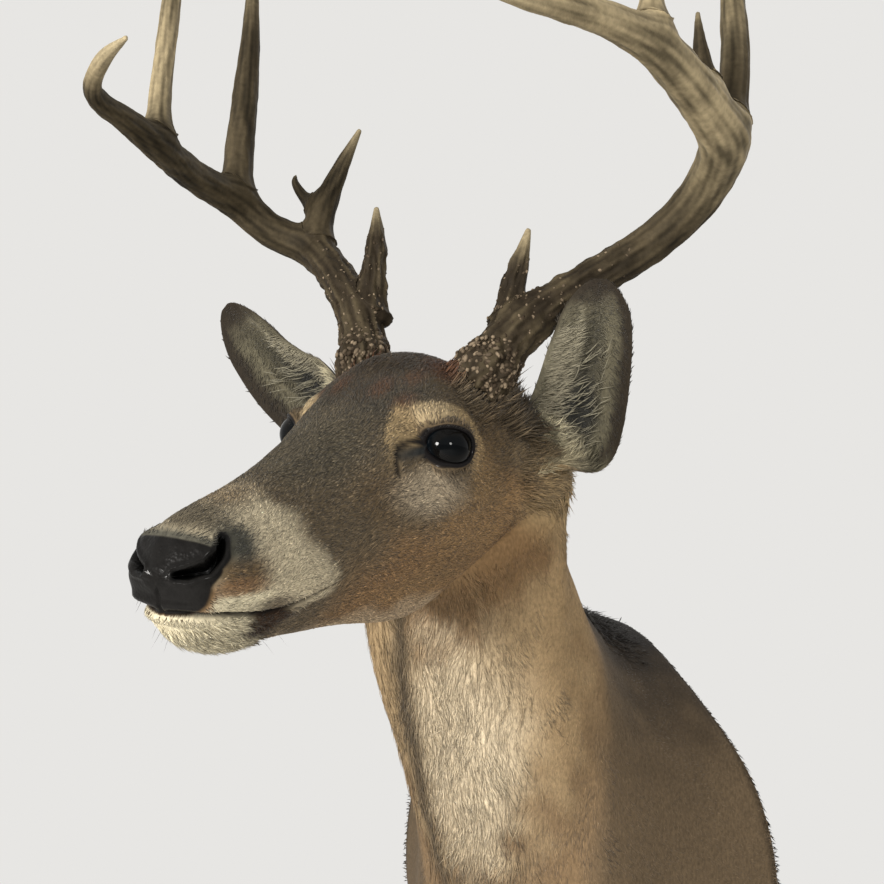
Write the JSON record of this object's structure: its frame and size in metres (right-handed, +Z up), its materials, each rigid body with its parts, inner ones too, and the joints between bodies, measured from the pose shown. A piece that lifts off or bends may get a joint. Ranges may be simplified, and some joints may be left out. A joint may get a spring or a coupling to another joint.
{
  "type": "deer shoulder mount",
  "caption": "Wall-hung shoulder mount of a whitetail buck: head held level on a long neck, branching antlers, glass eyes, and a shoulder that meets a flush back board.",
  "frame": {"origin": "centre of the back board's back face, which lies flat on the wall", "axes": "+Y into the wall, so the mount stands out towards -Y; +Z up; +X to the deer's left"},
  "size_m": [0.4348, 0.5759, 1.0846],
  "materials": {
    "coat": "short lying winter coat, tan to grey-brown with pale muzzle band, chin and throat",
    "nose_skin": "glossy black pebbled skin",
    "eye_glass": "polished dark glass eye",
    "antler": "weathered antler, rough and beaded at the base, smooth and pale at the tips",
    "board_wood": "bare plywood",
    "hanger_steel": "zinc-plated"
  },
  "bodies": {
    "root": {"antler_left_beam_lower": "antler", "antler_left_beam_middle": "antler", "antler_left_beam_tip": "antler", "antler_left_brow_tine": "antler", "antler_left_burr": "antler", "antler_left_sticker": "antler", "antler_left_tine_2": "antler", "antler_left_tine_3": "antler", "antler_right_beam_lower": "antler", "antler_right_beam_middle": "antler", "antler_right_beam_tip": "antler", "antler_right_brow_tine": "antler", "antler_right_burr": "antler", "antler_right_sticker": "antler", "antler_right_tine_2": "antler", "antler_right_tine_3": "antler", "antler_right_tine_4": "antler", "back_board": "board_wood", "ear_left": "coat", "ear_right": "coat", "eye_left": "eye_glass", "eye_right": "eye_glass", "hanger_plate": "hanger_steel", "head": "coat", "lower_jaw": "coat", "muzzle": "coat", "neck_lower": "coat", "neck_upper": "coat", "nose_pad": "nose_skin", "trunk": "coat"}
  },
  "joints": []
}
